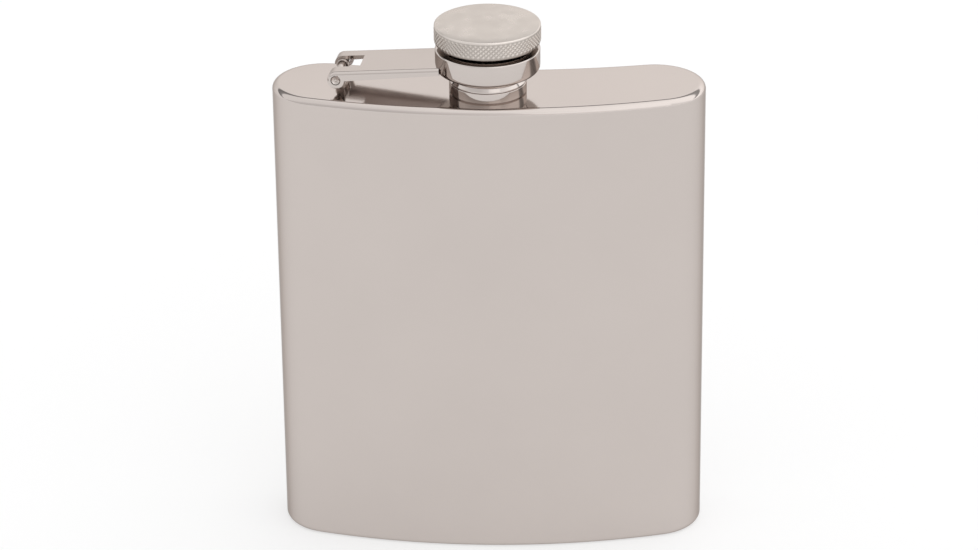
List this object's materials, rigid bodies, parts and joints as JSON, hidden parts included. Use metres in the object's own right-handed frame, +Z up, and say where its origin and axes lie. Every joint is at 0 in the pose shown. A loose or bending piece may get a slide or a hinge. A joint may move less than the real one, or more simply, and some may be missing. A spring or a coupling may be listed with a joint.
{
  "type": "hip flask",
  "caption": "Slim curved steel hip flask with a knurled screw cap held on a hinged arm at its shoulder.",
  "frame": {"origin": "centre of the bounding box at the base, on the surface the flask stands on", "axes": "+X across the flask's width, with the hinge on the -X side; -Y towards the bulging front; +Z up through the neck"},
  "size_m": [0.092, 0.0265, 0.1194],
  "materials": {
    "polished_body": "mirror polished stainless steel",
    "polished_fittings": "polished stainless steel, turned and pressed",
    "knurled_cap": "satin top with a fine diamond knurl round the side",
    "hinge_steel": "satin stainless steel",
    "liner_plastic": "soft matte polyethylene"
  },
  "bodies": {
    "flask": {"body_wrap": "polished_body", "top_plate": "polished_body", "base_plate": "polished_body", "neck": "polished_fittings", "hinge_bracket": "hinge_steel", "hinge_pin": "hinge_steel"},
    "arm": {"hinge_arm": "polished_fittings", "collar_cup": "polished_fittings"},
    "liner": {"cap_liner": "liner_plastic"},
    "cap": {"cap_sleeve": "polished_fittings", "cap_head": "knurled_cap"}
  },
  "joints": [
    {"name": "arm_swing", "type": "hinge", "parent": "flask", "child": "arm", "pos_m": [-0.03126, 0.00145, 0.1073], "axis": [-0.1097, -0.994, 0], "range_deg": [0, 170]},
    {"name": "cap_lift", "type": "slide", "parent": "arm", "child": "liner", "axis": [0, 0, 1], "range_m": [0, 0.00225]},
    {"name": "cap_turn", "type": "hinge", "parent": "liner", "child": "cap", "pos_m": [0, -0.002, 0.1122], "axis": [0, 0, 1], "range_deg": [0, 540]}
  ],
  "couplings": [
    {"joint": "cap_lift", "follows": "cap_turn", "m_per_rad": 0.00023873}
  ]
}
